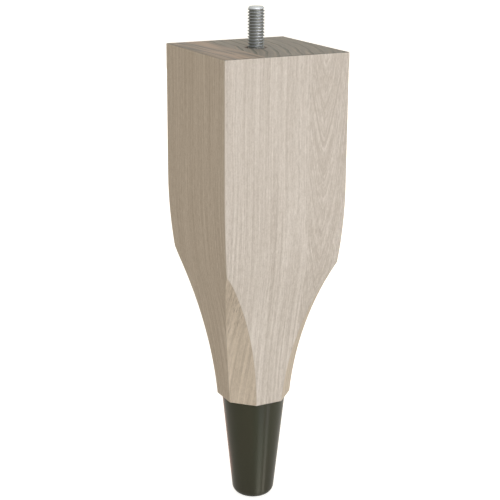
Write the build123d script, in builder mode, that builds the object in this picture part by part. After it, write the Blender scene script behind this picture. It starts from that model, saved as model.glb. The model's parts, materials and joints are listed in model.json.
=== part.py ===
from build123d import *
import math
import os

# Wooden furniture foot: a square block that narrows on curved faces and coved
# corners to an octagon, with a drawn metal ferrule below and a threaded stud above.
# Millimetres. The origin is the centre of the ferrule's sole, +Z is up.

# Block
leg_height = 228.6
block_width = 63.5
arris_radius = 0.4

# Curved faces of the block, with their places measured down from the seat
square_length = 63.0
knuckle_depth = 103.2
knuckle_width = 58.4
knuckle_radius = 60.0
lower_slope = 15.2
foot_width = 33.6

# Coved corners, cut by a round cutter of this radius
cove_radius = 166.0
cove_foot_slope = 5.3

# Ferrule
ferrule_height = 55.0
ferrule_top_diameter = 31.75
ferrule_sole_diameter = 20.4
ferrule_sole_radius = 4.4
ferrule_wall = 1.2
ferrule_inner_chamfer = 2.0
ferrule_rim_chamfer = 0.3

# Spigot of the block, which fills the ferrule
spigot_clearance = 0.1
spigot_end_gap = 1.0
spigot_nose_chamfer = 2.5

# Hanger bolt: a machine thread above the seat, a plain shank and a wood screw below it
stud_diameter = 7.94
stud_length = 19.05
stud_tip_chamfer = 0.9
bolt_length = 50.8
shank_diameter = 7.1
shank_length = 6.35
screw_core_diameter = 5.6
screw_point_length = 6.0
screw_point_diameter = 1.0

# Stepped hole for the bolt
stud_hole_clearance = 0.3
pilot_clearance = 0.05
pilot_end_gap = 1.5

# Places worked out from the sizes above
foot_z = ferrule_height
curve_z = leg_height - square_length
knuckle_z = leg_height - knuckle_depth
half_block = block_width / 2
half_knuckle = knuckle_width / 2
half_foot = foot_width / 2
rim_radius = ferrule_top_diameter / 2
sole_corner = ferrule_sole_diameter / 2
taper = math.atan2(rim_radius - sole_corner, ferrule_height)

# Heights and radii of the spigot, the bolt and its hole
spigot_bottom_z = ferrule_wall + spigot_end_gap
stud_radius = stud_diameter / 2
shank_radius = shank_diameter / 2
core_radius = screw_core_diameter / 2
point_radius = screw_point_diameter / 2
stud_top_z = leg_height + stud_length
shank_bottom_z = leg_height - shank_length
bolt_bottom_z = stud_top_z - bolt_length
core_bottom_z = bolt_bottom_z + screw_point_length
pilot_bottom_z = bolt_bottom_z - pilot_end_gap

# Centre of the cutter that makes the coves
cove_angle = math.radians(cove_foot_slope)
cove_centre_x = half_foot + cove_radius * math.cos(cove_angle)
cove_centre_z = foot_z - cove_radius * math.sin(cove_angle)


def wall_direction(degrees):
    """Direction of a wall that runs down and inward at this angle from vertical."""
    angle = math.radians(degrees)
    return (-math.sin(angle), -math.cos(angle))


def cone_radius(z, inset):
    """Radius at height z of the ferrule's cone, moved in by inset square to its wall."""
    return sole_corner + z * math.tan(taper) - inset / math.cos(taper)


def cone_outline(bottom_z, inset):
    """Closed half outline of that cone, from bottom_z up to the foot of the block."""
    return Polyline(
        (0, bottom_z),
        (cone_radius(bottom_z, inset), bottom_z),
        (cone_radius(foot_z, inset), foot_z),
        (0, foot_z),
        close=True,
    )


# Outline of the curved faces, which all four sides of the block share
with BuildSketch(Plane.XZ) as face_outline:
    with BuildLine():
        straight_side = Line((half_block, leg_height), (half_block, curve_z))
        upper_curve = TangentArc(straight_side @ 1, (half_knuckle, knuckle_z), tangent=(0, -1))
        lower_curve = TangentArc(
            upper_curve @ 1, (half_foot, foot_z), tangent=wall_direction(lower_slope)
        )
        Polyline(lower_curve @ 1, (0, foot_z), (0, leg_height), straight_side @ 0)
    make_face()
    knuckle = face_outline.vertices().sort_by_distance((half_knuckle, knuckle_z))[0]
    fillet(knuckle, knuckle_radius)
    mirror(about=Plane.YZ)

# Outline across two opposite corners: straight above, and a cove on each side below
with BuildSketch(Plane.XZ) as corner_outline:
    with Locations((0, (foot_z + leg_height) / 2)):
        Rectangle(2 * block_width, leg_height - foot_z)
    with Locations((cove_centre_x, cove_centre_z), (-cove_centre_x, cove_centre_z)):
        Circle(cove_radius, mode=Mode.SUBTRACT)

# Leg body: what the face outline leaves both ways, cut by the corner outline both
# ways, which turns the square into an octagon towards the foot
with BuildPart() as leg_body:
    extrude(face_outline.sketch, amount=half_block, both=True)
    extrude(
        face_outline.sketch.rotate(Axis.Z, 90), amount=half_block, both=True, mode=Mode.INTERSECT
    )
    for turn in (45, 135):
        extrude(
            corner_outline.sketch.rotate(Axis.Z, turn),
            amount=block_width,
            both=True,
            mode=Mode.INTERSECT,
        )
    fillet(leg_body.edges(), arris_radius)

    # Spigot
    with BuildSketch(Plane.XZ) as spigot_outline:
        with BuildLine():
            cone_outline(spigot_bottom_z, ferrule_wall + spigot_clearance)
        make_face()
        chamfer(spigot_outline.vertices().group_by(Axis.Y)[0].sort_by(Axis.X)[-1], spigot_nose_chamfer)
    revolve(axis=Axis.Z)

    # Stepped hole from the seat: the shank stands on the step, the screw fills the pilot
    with Locations(Plane.XY.offset(leg_height)):
        CounterBoreHole(
            radius=core_radius + pilot_clearance,
            counter_bore_radius=stud_radius + stud_hole_clearance,
            counter_bore_depth=shank_length,
            depth=leg_height - pilot_bottom_z,
        )
leg_body.part.label = "leg_body"

# Ferrule: a tapered cup with a rounded sole
with BuildPart() as ferrule:
    with BuildSketch(Plane.XZ) as ferrule_outline:
        with BuildLine():
            cone_outline(0, 0)
        make_face()
        fillet(ferrule_outline.vertices().group_by(Axis.Y)[0].sort_by(Axis.X)[-1], ferrule_sole_radius)
    revolve(axis=Axis.Z)
    with BuildSketch(Plane.XZ) as ferrule_hollow:
        with BuildLine():
            cone_outline(ferrule_wall, ferrule_wall)
        make_face()
        chamfer(ferrule_hollow.vertices().group_by(Axis.Y)[0].sort_by(Axis.X)[-1], ferrule_inner_chamfer)
    revolve(axis=Axis.Z, mode=Mode.SUBTRACT)
    rim_edge = ferrule.edges().group_by(Axis.Z)[-1].sort_by(SortBy.RADIUS)[-1]
    chamfer(rim_edge, ferrule_rim_chamfer)
ferrule.part.label = "ferrule"

# Hanger bolt: stud, shank, screw core and point, all of one rod
with BuildPart() as hanger_bolt:
    with BuildSketch(Plane.XZ) as bolt_outline:
        with BuildLine():
            Polyline(
                (0, stud_top_z),
                (stud_radius, stud_top_z),
                (stud_radius, leg_height),
                (shank_radius, leg_height),
                (shank_radius, shank_bottom_z),
                (core_radius, shank_bottom_z),
                (core_radius, core_bottom_z),
                (point_radius, bolt_bottom_z),
                (0, bolt_bottom_z),
                close=True,
            )
        make_face()
        tip = bolt_outline.vertices().sort_by_distance((stud_radius, stud_top_z))[0]
        chamfer(tip, stud_tip_chamfer)
    revolve(axis=Axis.Z)
hanger_bolt.part.label = "hanger_bolt"

os.makedirs("parts", exist_ok=True)
export_step(leg_body.part, "parts/leg_body.step")
export_step(ferrule.part, "parts/ferrule.step")
export_step(hanger_bolt.part, "parts/hanger_bolt.step")
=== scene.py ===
import json
import math

import bmesh
import bpy
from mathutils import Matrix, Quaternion, Vector


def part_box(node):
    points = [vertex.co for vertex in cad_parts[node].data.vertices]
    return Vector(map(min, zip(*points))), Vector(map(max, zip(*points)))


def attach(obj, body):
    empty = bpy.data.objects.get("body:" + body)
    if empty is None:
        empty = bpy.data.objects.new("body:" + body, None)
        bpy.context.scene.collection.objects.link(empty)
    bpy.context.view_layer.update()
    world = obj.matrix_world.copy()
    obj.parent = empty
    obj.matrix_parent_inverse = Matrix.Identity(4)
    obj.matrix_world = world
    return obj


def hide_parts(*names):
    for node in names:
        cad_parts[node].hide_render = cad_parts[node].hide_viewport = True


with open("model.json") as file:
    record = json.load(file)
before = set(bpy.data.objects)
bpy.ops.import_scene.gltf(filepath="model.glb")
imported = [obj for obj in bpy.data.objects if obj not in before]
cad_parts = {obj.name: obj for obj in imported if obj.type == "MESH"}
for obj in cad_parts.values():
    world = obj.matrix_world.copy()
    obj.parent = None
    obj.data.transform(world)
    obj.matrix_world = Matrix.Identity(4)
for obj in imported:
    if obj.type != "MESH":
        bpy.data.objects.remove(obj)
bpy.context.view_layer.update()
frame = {"nodes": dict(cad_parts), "record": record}

# Wooden furniture foot: finishes for the oak block and the metal ferrule, a threaded
# mesh for the hanger bolt, and a plain studio. Lengths are in metres unless a name or
# a comment says millimetres. +Z is up and the front face looks along -Y.

MM = 0.001
PER_MM = 1000
WHITE = (1.0, 1.0, 1.0)

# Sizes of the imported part
mounts = {mount["name"]: mount for mount in frame["record"]["mounts"]}
seat_z = mounts["seat"]["pos_m"][2]
stud_radius = mounts["stud"]["dims"]["r_mm"] * MM
bolt_low, bolt_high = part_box("hanger_bolt")


class Value:
    """A number that a node tree makes. Arithmetic on it adds Math nodes."""

    def __init__(self, nodes, socket):
        self.nodes = nodes
        self.socket = socket

    def __add__(self, other):
        return self.nodes.math("ADD", self, other)

    def __sub__(self, other):
        return self.nodes.math("SUBTRACT", self, other)

    def __mul__(self, other):
        return self.nodes.math("MULTIPLY", self, other)

    def __truediv__(self, other):
        return self.nodes.math("DIVIDE", self, other)

    def __radd__(self, other):
        return self.nodes.math("ADD", other, self)

    def __rsub__(self, other):
        return self.nodes.math("SUBTRACT", other, self)

    def __neg__(self):
        return self * -1

    def __abs__(self):
        return self.nodes.math("ABSOLUTE", self)

    def hypot(self, other):
        """Long side of the right triangle whose short sides are this and another number."""
        return self.nodes.math("SQRT", self * self + other * other)

    def fraction(self):
        return self.nodes.math("FRACT", self)

    def least(self, other):
        return self.nodes.math("MINIMUM", self, other)

    def most(self, other):
        return self.nodes.math("MAXIMUM", self, other)

    def above(self, limit):
        return self.nodes.math("GREATER_THAN", self, limit)

    def rise(self, low, high):
        """Goes smoothly from 0 at low to 1 at high, which may also lie below low."""
        if low > high:
            return 1 - self.rise(high, low)
        inputs = {"Value": self, "From Min": low, "From Max": high}
        node = self.nodes.add("ShaderNodeMapRange", inputs, interpolation_type="SMOOTHSTEP")
        return Value(self.nodes, node.outputs["Result"])


# Sockets of the Mix node for colours, by index, as their names are shared with other kinds
MIX_SHARE, MIX_FIRST, MIX_SECOND, MIX_RESULT = 0, 6, 7, 2


class Nodes:
    """The node tree of a new material or world, with short calls for what it is made of."""

    def __init__(self, owner):
        self.owner = owner
        owner.use_nodes = True
        self.tree = owner.node_tree
        self.tree.nodes.clear()

    def add(self, kind, inputs, **settings):
        node = self.tree.nodes.new(kind)
        for key, value in settings.items():
            setattr(node, key, value)
        for key, value in inputs.items():
            self.feed(node.inputs[key], value)
        return node

    def feed(self, socket, value):
        if isinstance(value, Value):
            value = value.socket
        if isinstance(value, bpy.types.NodeSocket):
            self.tree.links.new(value, socket)
        else:
            socket.default_value = value

    def math(self, operation, first, second=0.0):
        node = self.add("ShaderNodeMath", {0: first, 1: second}, operation=operation)
        return Value(self, node.outputs["Value"])

    def parts(self, socket):
        """The three numbers of a vector."""
        node = self.add("ShaderNodeSeparateXYZ", {"Vector": socket})
        return [Value(self, node.outputs[axis]) for axis in "XYZ"]

    def place(self):
        """Where a point of the surface is, as three numbers of millimetres."""
        node = self.add("ShaderNodeTexCoord", {})
        return [axis * PER_MM for axis in self.parts(node.outputs["Object"])]

    def facing(self):
        """Which way the surface looks at that point, as the three numbers of its normal."""
        node = self.add("ShaderNodeTexCoord", {})
        return self.parts(node.outputs["Normal"])

    def noise(self, place, detail=2.0, roughness=0.5):
        """Cloud noise from 0 to 1 at a place given as three numbers in cells."""
        vector = self.add("ShaderNodeCombineXYZ", dict(zip("XYZ", place)))
        inputs = {
            "Vector": vector.outputs["Vector"],
            "Scale": 1.0,
            "Detail": detail,
            "Roughness": roughness,
        }
        node = self.add("ShaderNodeTexNoise", inputs, noise_dimensions="3D")
        return Value(self, node.outputs["Fac"])

    def grain(self, across, along, seed, width, length, detail=1.0):
        """Noise from 0 to 1 in cells of a width across the grain and a length along it."""
        return self.noise((across / width, along / length, seed), detail)

    def blend(self, share, first, second):
        """Number that goes from first to second as share goes from 0 to 1."""
        inputs = {"Factor": share, "A": first, "B": second}
        node = self.add("ShaderNodeMix", inputs, data_type="FLOAT")
        return Value(self, node.outputs[0])

    def colour(self, share, first, second):
        """Colour that goes from first to second as share goes from 0 to 1."""
        first, second = (
            (*value, 1.0) if isinstance(value, tuple) else value for value in (first, second)
        )
        inputs = {MIX_SHARE: share, MIX_FIRST: first, MIX_SECOND: second}
        node = self.add("ShaderNodeMix", inputs, data_type="RGBA", clamp_factor=True)
        return node.outputs[MIX_RESULT]

    def bump(self, height, distance, strength):
        inputs = {"Height": height, "Distance": distance, "Strength": strength}
        return self.add("ShaderNodeBump", inputs).outputs["Normal"]

    def finish(self, **inputs):
        """Closes the tree with a Principled shader and gives the material back."""
        named = {key.replace("_", " "): value for key, value in inputs.items()}
        shader = self.add("ShaderNodeBsdfPrincipled", named)
        self.add("ShaderNodeOutputMaterial", {"Surface": shader.outputs["BSDF"]})
        return self.owner


# Wood. Its lengths and heights are in millimetres, as are these X of the glued joints.
STAVE_JOINTS = (-10.8, 12.07)
COVE_TOP = 127.0
COVE_FADE = 4.0

# Shares of the normal from which a spot begins to count as a face, a cove, the end grain
# or its top arris, and those at which it counts in full
FACE_LOOK = (0.85, 0.95)
COVE_LOOK = (0.3, 0.5)
END_LOOK = (0.75, 0.95)
ARRIS_LOOK = (0.45, 0.80)

# Straight grain: how far it wanders, and how it leans and spreads on the coves
WANDER = 2.2
LEAN_BOTTOM = 60.0
LEAN_SLOPE = 0.17
LEAN_GROWTH = 0.0019
COVE_SPREAD = 0.3

# Pointed arches of the flat-sawn figure: their middles, and the form of one
FRONT_FIGURE_X = 19.4
BACK_FIGURE_X = -20.5
ARCH_TIP = 0.12
ARCH_DRIFT = 9.0
ARCH_SLOPE = 2.1
ARCH_CURVE = 0.28
ARCH_LENGTH = 2.7

# Heights over which the side grain changes, from where a change starts to where it is full
LOW_SPAN = (150.0, 65.0)
CALM_SPAN = (110.0, 220.0)
FIGURE_SPAN = (120.0, 185.0)
KNOT_SPAN = (88.0, 106.0)

# Seeds that set the grain of the sides and of the staves apart
SEED_X = 31.0
SEED_Y = 57.0
SEED_STAVE = 7.3

# End grain: middle, spacing and wobble of the rings, and the stripes of the outer stave
RING_HEART = (-96.0, 24.0)
RING_PITCH = 5.1
RING_WOBBLE = 2.4
STRIPES = (1.4, 0.08)

# End grain: the joint's pale line, the pale curl beside it, painted shade along the front and left
# edges, and the hole's stain with painted shade
SEAM_X = -12.1
CURL_PLACE = (-6.5, 8.5)
CURL_SLOPE = 0.375
FRONT_EDGE_SHADE = (-29.6, -30.8)
LEFT_EDGE_SHADE = (-27.6, -30.6)
STAIN_AND_SHADE_EDGE = (5.9, 4.3)

SIDE_LIGHT = (0.743, 0.687, 0.631)
SIDE_DARK = (0.518, 0.460, 0.402)
COVE_LIGHT = (0.766, 0.677, 0.574)
COVE_DARK = (0.543, 0.467, 0.382)
PORE_COLOUR = (0.26, 0.205, 0.16)
END_WARM = (0.486, 0.408, 0.354)
END_DIM = (0.275, 0.269, 0.260)
END_COOL = (0.316, 0.319, 0.303)
END_RING_AND_EDGE_SHADE = (0.175, 0.193, 0.177)
END_PALE = (0.520, 0.443, 0.378)
HOLE_STAIN_AND_SHADE = (0.11, 0.07, 0.055)
WOOD_RELIEF = 0.06 * MM


def side_grain(n, x, y, z, nx, ny):
    """Place across the side grain, with its figure and plain, a seed, and three masks."""
    level = nx.hypot(ny).most(0.01)
    look_x = nx / level
    look_y = ny / level
    across = look_x * y - look_y * x
    seed = look_x * SEED_X + look_y * SEED_Y
    front = (-look_y).rise(*FACE_LOOK)
    back = look_y.rise(*FACE_LOOK)
    flank = abs(look_x).rise(*FACE_LOOK)
    cove = abs(look_x).least(abs(look_y)).rise(*COVE_LOOK) * z.rise(COVE_TOP + COVE_FADE, COVE_TOP)

    # Straight grain, which wanders a little, and leans on the coves
    wander = n.grain(across, z, seed, width=30, length=75) - 0.5
    up = z - LEAN_BOTTOM
    lean = (up * LEAN_SLOPE + up * up * LEAN_GROWTH) * (look_x * look_y * 2)
    straight = (across + wander * WANDER - lean * cove) * (1 - cove * COVE_SPREAD)

    # Flat-sawn figure of one outer stave: pointed arches that hang or stand
    hanging = x.above(STAVE_JOINTS[1]) * front
    standing = (1 - x.above(STAVE_JOINTS[0])) * back
    figure = hanging + standing
    off = x - (front * FRONT_FIGURE_X + back * BACK_FIGURE_X)
    aside = n.math("SQRT", off * off + ARCH_TIP)
    drift = n.grain(z, across, seed + 3, width=26, length=8, detail=2.0) - 0.5
    limb = aside * ARCH_SLOPE + aside * aside * ARCH_CURVE
    arch = z * (hanging - standing) + drift * ARCH_DRIFT - limb
    ring = n.blend(figure, straight, arch / ARCH_LENGTH)

    # Each stave has its own grain
    stave = (x.above(STAVE_JOINTS[0]) + x.above(STAVE_JOINTS[1])) * (front + back)
    return ring, across, seed + stave * SEED_STAVE, figure, cove, flank


def side_tone(n, ring, across, z, seed, figure, cove, flank):
    """Tone of the side grain from 0, dark, to 1, light, and its open pores."""
    upright = n.blend(figure, ring, across)
    broad = n.grain(ring, z, seed, width=7, length=150) - 0.5
    streak = n.grain(ring, z, seed + 11, width=0.85, length=60) - 0.5
    fleck = n.grain(upright, z, seed + 23, width=0.6, length=3.6) - 0.5
    grit = n.grain(across, z, seed + 31, width=0.5, length=0.9) - 0.5

    # Weights of the four by place: bold arches high in the figure, more streaks and less
    # fleck low down, and less of all towards the top
    low = z.rise(*LOW_SPAN)
    bold = figure * z.rise(*FIGURE_SPAN)
    rough = figure * (streak * 3 + 0.35)
    fine = (fleck * (1.05 + rough) + grit * 0.95) * (1 - cove * 0.15 - low * 0.15)
    streak = streak * (1 - figure * 0.15 + bold * 0.65 + low * 0.2)
    broad = broad * (0.45 - figure * 0.2 + bold * 0.1)
    gain = 1.1 - z.rise(*CALM_SPAN) * 0.27 + cove * 0.1 + flank * 0.22
    light = low * (1 - flank - cove * 0.6) * 0.15 - figure * 0.12
    tone = 0.5 + (broad + streak * 1.5 + fine) * gain + light

    # Pores in rows, and more of them high on the coves, where the cutter crossed the grain
    dashes = n.grain(ring, z, seed + 41, width=0.22, length=4.5)
    rows = n.grain(ring, z, seed + 53, width=1.9, length=90)
    knot = cove * z.rise(*KNOT_SPAN)
    pores = (dashes + rows * 0.35 + knot * 0.07).rise(0.80, 0.94) * (1 + knot)
    return tone, pores


def end_grain(n, x, y):
    """Tone and rings of the end grain: straight stripes in one stave, arcs in the rest."""
    arcs = x.above(STAVE_JOINTS[0])
    curved = (x - RING_HEART[0]).hypot(y - RING_HEART[1])
    straight = x * STRIPES[0] + y * STRIPES[1]
    depth = n.blend(arcs, straight, curved)
    wobble = n.noise((x / 13, y / 13, 5.0), detail=1.0) - 0.5
    turn = (depth + wobble * RING_WOBBLE) / RING_PITCH

    # Within a ring, part goes from 0 to 1: pale early wood, and a dark line at the end
    part = turn.fraction()
    fading = 1 - x.rise(6, 26) * 0.45
    strength = n.noise((turn * 0.8, y / 22, 8.0), detail=0.0).rise(0.2, 0.6) * fading
    line = part.rise(0.62, 0.93) * part.rise(1.0, 0.96) * strength
    pale = part.rise(0.10, 0.0) + part.rise(0.45, 0.60) * part.rise(0.75, 0.60)
    speck = n.noise((x / 0.38, y / 0.38, 2.0), detail=1.0) - 0.5
    streaks = n.grain(depth, x * 0.2 + y, seed=6.0, width=1.1, length=18, detail=2.0) - 0.5
    bands = n.grain(depth, y, seed=9.0, width=3.4, length=45) - 0.5

    # Pale line along the joint, and a pale curl beside it
    from_seam = abs(x - SEAM_X - wobble)
    seam = from_seam.rise(0.9, 0.4) * y.rise(-5, -11)
    from_curl = abs(x - CURL_PLACE[0] - (y - CURL_PLACE[1]) * CURL_SLOPE - wobble)
    curl = from_curl.rise(0.7, 0.2) * y.rise(-4, -1) * y.rise(11, 7)
    pale = (pale * strength * 0.35).most((seam + curl) * 0.6)
    return arcs, line, pale, speck, streaks, bands


def side_colour(n, tone, pores, cove):
    """Colour of the sides, which is a little warmer on the coves."""
    light = n.colour(cove, SIDE_LIGHT, COVE_LIGHT)
    dark = n.colour(cove, SIDE_DARK, COVE_DARK)
    side = n.colour(tone * 0.8, dark, light)
    return n.colour(pores * 0.3, side, PORE_COLOUR)


def end_colour(n, x, y, arcs, line, pale, speck, streaks, bands):
    """Colour of the end grain, with painted shade along its front and left edges, and a stain with
    painted shade round the bolt's hole.
    """
    end = n.colour(arcs, END_WARM, END_COOL)
    end = n.colour(0.08 - streaks * 1.6, end, END_WARM)
    end = n.colour((0.42 + bands * 4.2 + streaks * 1.8) * (1 - arcs * 0.55), end, END_DIM)
    end = n.colour(pale, end, END_PALE)
    end = n.colour(line * (0.35 + arcs * 0.45), end, END_RING_AND_EDGE_SHADE)
    # Painted shade: the end grain darkens towards its front and left edges, in the colour of the
    # ring lines
    end = n.colour(y.rise(*FRONT_EDGE_SHADE) * 0.4, end, END_RING_AND_EDGE_SHADE)
    end = n.colour(x.rise(*LEFT_EDGE_SHADE) * 0.4, end, END_RING_AND_EDGE_SHADE)
    end = n.colour(speck * 1.3, end, PORE_COLOUR)
    # Round the bolt's hole: a reddish stain, with painted shade where the stud meets the wood
    return n.colour(x.hypot(y).rise(*STAIN_AND_SHADE_EDGE) * 0.9, end, HOLE_STAIN_AND_SHADE)


def wood_material():
    """Limed oak: grain by face, with the end grain above, and a matt finish."""
    n = Nodes(bpy.data.materials.new("limed_oak"))
    x, y, z = n.place()
    nx, ny, nz = n.facing()
    ring, across, seed, figure, cove, flank = side_grain(n, x, y, z, nx, ny)
    tone, pores = side_tone(n, ring, across, z, seed, figure, cove, flank)
    arcs, line, pale, speck, streaks, bands = end_grain(n, x, y)
    side = side_colour(n, tone, pores, cove)
    end = end_colour(n, x, y, arcs, line, pale, speck, streaks, bands)

    # The end grain's colour runs over the top arris, and less far over the lower one
    top = abs(nz).rise(*END_LOOK).most(nz.rise(*ARRIS_LOOK))
    height = n.blend(top, tone * 0.5 - pores, -speck - line)
    dullness = n.noise((x / 6, y / 6, z / 30), detail=2.0)
    return n.finish(
        Base_Color=n.colour(top, side, end),
        Roughness=0.52 + dullness * 0.12 + top * 0.2,
        Normal=n.bump(height, WOOD_RELIEF, 0.5),
        Specular_IOR_Level=0.05,
    )


# Ferrule. Its lengths and heights are in millimetres.
BRONZE = (0.0395, 0.0445, 0.0265)
BRONZE_WARM = (0.0445, 0.0445, 0.0275)
BRONZE_BARE = (0.0430, 0.0415, 0.0290)
BRONZE_RELIEF = 0.03 * MM

# Bare metal shows through the lacquer from this height down, up to this share at the sole
BARE_TOP = 48.0
BARE_AT_SOLE = 0.6

# Fineness of the draw lines round the ferrule, and spacing of the turned rings
DRAW_LINES = 34
RING_SPACING = 0.16


def ferrule_material():
    """Dark bronze lacquer over turned metal: faint draw lines down it and fine rings."""
    n = Nodes(bpy.data.materials.new("dark_bronze"))
    x, y, z = n.place()
    radius = x.hypot(y).most(0.5)
    cloud = n.noise((x / 7, y / 7, z / 40), detail=2.0)
    drawn = n.noise((x / radius * DRAW_LINES, y / radius * DRAW_LINES, z / 45), detail=2.0)
    turned = n.noise((z / RING_SPACING, 2.0, radius / 3), detail=1.0)
    around = n.add("ShaderNodeTangent", {}, direction_type="RADIAL", axis="Z")
    metal = (BARE_AT_SOLE - z * (BARE_AT_SOLE / BARE_TOP)).most(0.0)
    bronze = n.colour(cloud.rise(0.3, 0.7), BRONZE, BRONZE_WARM)
    return n.finish(
        Base_Color=n.colour(metal * 1.6, bronze, BRONZE_BARE),
        Roughness=0.32 - z * 0.0008 + drawn * 0.05 + turned * 0.03,
        Metallic=metal,
        Normal=n.bump(drawn * 0.7 + turned * 0.3, BRONZE_RELIEF, 0.2),
        Specular_IOR_Level=0.12,
        Anisotropic=0.98,
        Anisotropic_Rotation=0.25,
        Tangent=around.outputs["Tangent"],
        Coat_Weight=0.1,
        Coat_Roughness=0.08,
        Coat_IOR=1.3,
    )


# Hanger bolt: its colours
ZINC = (0.318, 0.331, 0.332)
ZINC_ROOT_SHADE = (0.270, 0.272, 0.240)
ZINC_TIP_BRIGHT = (0.60, 0.62, 0.62)
ZINC_EDGE = (0.35, 0.35, 0.30, 1.0)
ZINC_RELIEF = 0.04 * MM

# Radii between which the thread goes from painted shade in its roots to bright on its crests, and
# the depth of the bright end below the tip, in millimetres
THREAD_SHADE = (3.25, 3.85)
BRIGHT_END = (1.3, 0.7)

# Machine thread above the seat. Its root and its rise are shares of half a pitch.
PITCH = 1.411 * MM
THREAD_DEPTH = 0.85 * MM
THREAD_TURN = 0.4
THREAD_ROOT = 0.10
THREAD_RISE = 0.78
RUN_OUT = 0.5 * MM
TIP_CHAMFER = 0.9 * MM

# Shank and wood screw in the block. The screw's crest is a share of the stud's radius.
SHANK_RADIUS = 3.55 * MM
SHANK_LENGTH = 6.35 * MM
WOOD_PITCH = 2.8 * MM
WOOD_CORE = 2.05 * MM
WOOD_CREST = 0.70
POINT_LENGTH = 6.0 * MM
POINT_RADIUS = 0.35 * MM

# How fine the mesh is
SIDES = 64
ROWS_PER_TURN = 20
WOOD_ROWS_PER_TURN = 12
SHANK_ROWS = 6
STEP = 0.01 * MM

shank_bottom = seat_z - SHANK_LENGTH


def bolt_material():
    """Zinc plate: bright on the crests, with painted shade down in the thread."""
    n = Nodes(bpy.data.materials.new("zinc_plate"))
    x, y, z = n.place()
    crest = x.hypot(y).rise(*THREAD_SHADE)
    below_tip = bolt_high.z * PER_MM - z
    mottle = n.noise((x / 0.9, y / 0.9, z / 0.9), detail=3.0, roughness=0.6)
    # Painted shade: the zinc darkens down in the thread, away from the crests
    zinc = n.colour(crest * 0.9 + (mottle - 0.5) * 0.5, ZINC_ROOT_SHADE, ZINC)
    return n.finish(
        # The zinc is coloured brighter towards the tip
        Base_Color=n.colour(below_tip.rise(*BRIGHT_END) * 0.8, zinc, ZINC_TIP_BRIGHT),
        Roughness=0.42 + mottle * 0.16,
        Normal=n.bump(mottle, ZINC_RELIEF, 0.3),
        Metallic=1.0,
        Specular_Tint=ZINC_EDGE,
    )


def share(value):
    """The value, kept between 0 and 1."""
    return min(max(value, 0.0), 1.0)


def thread_share(z, angle, pitch):
    """Height of a rounded V thread, from 0 at its root to 1 at its crest."""
    turn = (z / pitch - angle / math.tau + THREAD_TURN) % 1.0
    flank = 1 - abs(turn - 0.5) * 2
    return share((flank - THREAD_ROOT) / THREAD_RISE)


def bolt_radius(z, angle):
    """Radius of the hanger bolt at a height and an angle."""
    if z > seat_z:
        chamfer = stud_radius - TIP_CHAMFER + bolt_high.z - z
        run_out = share((bolt_high.z - z - RUN_OUT) / RUN_OUT)
        groove = THREAD_DEPTH * run_out * (1 - thread_share(z, angle, PITCH))
        return min(stud_radius - groove, chamfer)
    if z > shank_bottom:
        return SHANK_RADIUS
    taper = min((z - bolt_low.z) / POINT_LENGTH, 1.0)
    core = POINT_RADIUS + (WOOD_CORE - POINT_RADIUS) * taper
    crest = POINT_RADIUS + (bolt_high.x * WOOD_CREST - POINT_RADIUS) * taper
    return core + (crest - core) * thread_share(z, angle, WOOD_PITCH)


def bolt_rows():
    """Heights of the rows of vertices, close together where the bolt is threaded."""
    stretches = (
        (bolt_low.z, shank_bottom, WOOD_PITCH / WOOD_ROWS_PER_TURN),
        (shank_bottom + STEP, seat_z, SHANK_LENGTH / SHANK_ROWS),
        (seat_z + STEP, bolt_high.z, PITCH / ROWS_PER_TURN),
    )
    rows = []
    for low, high, spacing in stretches:
        count = math.ceil((high - low) / spacing)
        rows += [low + (high - low) * k / count for k in range(count + 1)]
    return rows


def make_bolt():
    """Hanger bolt in one closed mesh, with both its threads."""
    mesh = bmesh.new()
    rings = []
    for z in bolt_rows():
        ring = []
        for side in range(SIDES):
            angle = math.tau * side / SIDES
            radius = bolt_radius(z, angle)
            spot = (radius * math.cos(angle), radius * math.sin(angle), z)
            ring.append(mesh.verts.new(spot))
        rings.append(ring)
    for lower, upper in zip(rings, rings[1:]):
        for side in range(SIDES):
            after = (side + 1) % SIDES
            mesh.faces.new((lower[side], lower[after], upper[after], upper[side]))
    mesh.faces.new(list(reversed(rings[0])))
    mesh.faces.new(rings[-1])
    for face in mesh.faces:
        face.smooth = len(face.verts) == 4
    data = bpy.data.meshes.new("threaded_bolt")
    mesh.to_mesh(data)
    mesh.free()
    data.materials.append(bolt_material())
    bolt = bpy.data.objects.new("threaded_bolt", data)
    bpy.context.scene.collection.objects.link(bolt)
    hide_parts("hanger_bolt")
    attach(bolt, "root")


def dress(node, material):
    """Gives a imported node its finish."""
    data = frame["nodes"][node].data
    data.materials.clear()
    data.materials.append(material)


# Studio
FLOOR_SIZE = 12.0
FLOOR_ALBEDO = (0.58, 0.555, 0.50, 1.0)
FLOOR_GLOW = 0.81
FILL = (0.622, 0.557, 0.462)

# Colours of the lamps
KEY_COLOUR = (0.86, 0.94, 1.055)
LAMP_COLOUR = (1.0, 0.97, 0.93)
WINDOW_COLOUR = (1.0, 0.96, 1.10)
STRIP_COLOUR = (1.0, 0.18, 0.08)

# Warm strip on the floor behind the foot
STRIP_PLACE = (-0.005, 0.1, 1 * MM)
STRIP_SIZE = (0.034, 0.16)
STRIP_RADIANCE = 0.7


def background_rays(n):
    """1 for the rays that show a background, and 0 for those that light surfaces."""
    path = n.add("ShaderNodeLightPath", {})
    camera, glossy, transmission = (
        Value(n, path.outputs[f"Is {kind} Ray"]) for kind in ("Camera", "Glossy", "Transmission")
    )
    return camera.most(glossy).most(transmission)


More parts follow.
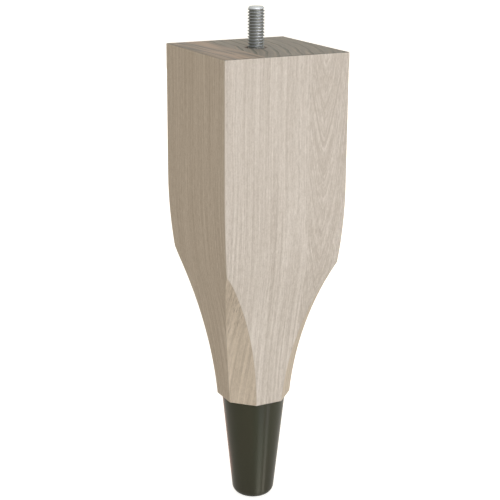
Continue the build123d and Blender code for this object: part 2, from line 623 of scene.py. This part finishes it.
def make_floor():
    """Plain pale floor. The camera and reflections see it white, with the foot's shadow."""
    bpy.ops.mesh.primitive_plane_add(size=FLOOR_SIZE)
    floor = bpy.context.object
    floor.name = "floor"
    n = Nodes(bpy.data.materials.new("floor_white"))
    glow = {"Color": (*WHITE, 1.0), "Strength": background_rays(n) * FLOOR_GLOW}
    diffuse = n.add("ShaderNodeBsdfDiffuse", {"Color": FLOOR_ALBEDO})
    emission = n.add("ShaderNodeEmission", glow)
    both = n.add("ShaderNodeAddShader", {0: diffuse.outputs[0], 1: emission.outputs[0]})
    n.add("ShaderNodeOutputMaterial", {"Surface": both.outputs[0]})
    floor.data.materials.append(n.owner)


def make_world():
    """White background, with a softer warm fill for what lights the foot."""
    world = bpy.data.worlds.new("studio")
    bpy.context.scene.world = world
    n = Nodes(world)
    colour = n.colour(background_rays(n), FILL, WHITE)
    background = n.add("ShaderNodeBackground", {"Color": colour})
    n.add("ShaderNodeOutputWorld", {"Surface": background.outputs["Background"]})


def direction(azimuth, elevation):
    """Unit vector from the foot towards a lamp or the camera, by the views' azimuth."""
    turn, rise = math.radians(azimuth), math.radians(elevation)
    flat = math.cos(rise)
    return Vector((math.sin(turn) * flat, -math.cos(turn) * flat, math.sin(rise)))


def add_lamp(name, place, rotation, size, energy, colour, gloss):
    """Rectangular lamp that the camera doesn't see. A gloss lamp shows only in reflections."""
    data = bpy.data.lights.new(name, "AREA")
    data.shape = "RECTANGLE"
    data.size, data.size_y = size
    data.energy = energy
    data.color = colour
    lamp = bpy.data.objects.new(name, data)
    lamp.location = place
    lamp.rotation_mode = "QUATERNION"
    lamp.rotation_quaternion = rotation
    lamp.visible_camera = False
    lamp.visible_diffuse = not gloss
    bpy.context.scene.collection.objects.link(lamp)


def make_lamp(name, azimuth, elevation, distance, size, strength, colour, gloss=False):
    """Soft lamp on the foot's middle. It makes a white surface as bright as its strength."""
    towards = direction(azimuth, elevation)
    place = towards * distance + Vector((0, 0, seat_z / 2))
    energy = strength * math.pi ** 2 * distance ** 2
    add_lamp(name, place, towards.to_track_quat("Z", "Y"), size, energy, colour, gloss)


def make_warm_strip():
    """Strip that looks up and makes the thin warm line along the ferrule's left edge."""
    upwards = Quaternion((1, 0, 0), math.pi)
    energy = STRIP_RADIANCE * math.pi * STRIP_SIZE[0] * STRIP_SIZE[1]
    add_lamp("warm_strip", STRIP_PLACE, upwards, STRIP_SIZE, energy, STRIP_COLOUR, gloss=True)


def make_lamps():
    """Key light in front, fills beside and behind, and windows for the metal to reflect."""
    make_lamp(
        "key", azimuth=0, elevation=12, distance=1.3,
        size=(0.6, 0.8), strength=0.478, colour=KEY_COLOUR,
    )
    make_lamp(
        "side_fill", azimuth=36, elevation=12, distance=1.2,
        size=(0.3, 0.8), strength=0.05, colour=LAMP_COLOUR,
    )
    make_lamp(
        "window_left", azimuth=4, elevation=2, distance=1.2,
        size=(0.40, 0.5), strength=0.78, colour=WINDOW_COLOUR, gloss=True,
    )
    make_lamp(
        "window_right", azimuth=27, elevation=2, distance=1.2,
        size=(0.19, 0.5), strength=0.82, colour=WINDOW_COLOUR, gloss=True,
    )
    make_warm_strip()
    make_lamp(
        "thread_light", azimuth=-8, elevation=55, distance=1.2,
        size=(0.3, 0.3), strength=0.3, colour=WHITE, gloss=True,
    )
    make_lamp(
        "back_fill", azimuth=160, elevation=15, distance=1.4,
        size=(0.9, 0.9), strength=0.28, colour=LAMP_COLOUR,
    )


# Camera, measured from the photograph's perspective. Angles are in degrees.
VIEW_AZIMUTH = -27.31
VIEW_ELEVATION = 16.74
VIEW_DISTANCE = 0.6143
VIEW_ROLL = 0.348
AIM_HEIGHT = 0.1299
AIM_ASIDE = -0.00217
SENSOR_WIDTH_MM = 36.0
LENS_MM = 90.43


def make_camera():
    """Camera at the photograph's viewing angle."""
    data = bpy.data.cameras.new("camera")
    data.sensor_width = SENSOR_WIDTH_MM
    data.lens = LENS_MM
    camera = bpy.data.objects.new("camera", data)
    turn = math.radians(VIEW_AZIMUTH)
    right = Vector((math.cos(turn), math.sin(turn), 0))
    aim = Vector((0, 0, AIM_HEIGHT)) + right * AIM_ASIDE
    towards = direction(VIEW_AZIMUTH, VIEW_ELEVATION)
    roll = Quaternion((0, 0, 1), math.radians(VIEW_ROLL))
    camera.location = aim + towards * VIEW_DISTANCE
    camera.rotation_mode = "QUATERNION"
    camera.rotation_quaternion = towards.to_track_quat("Z", "Y") @ roll
    bpy.context.scene.collection.objects.link(camera)
    bpy.context.scene.camera = camera


dress("leg_body", wood_material())
dress("ferrule", ferrule_material())
make_bolt()
make_floor()
make_world()
make_lamps()
make_camera()
bpy.context.scene.view_settings.view_transform = "Standard"
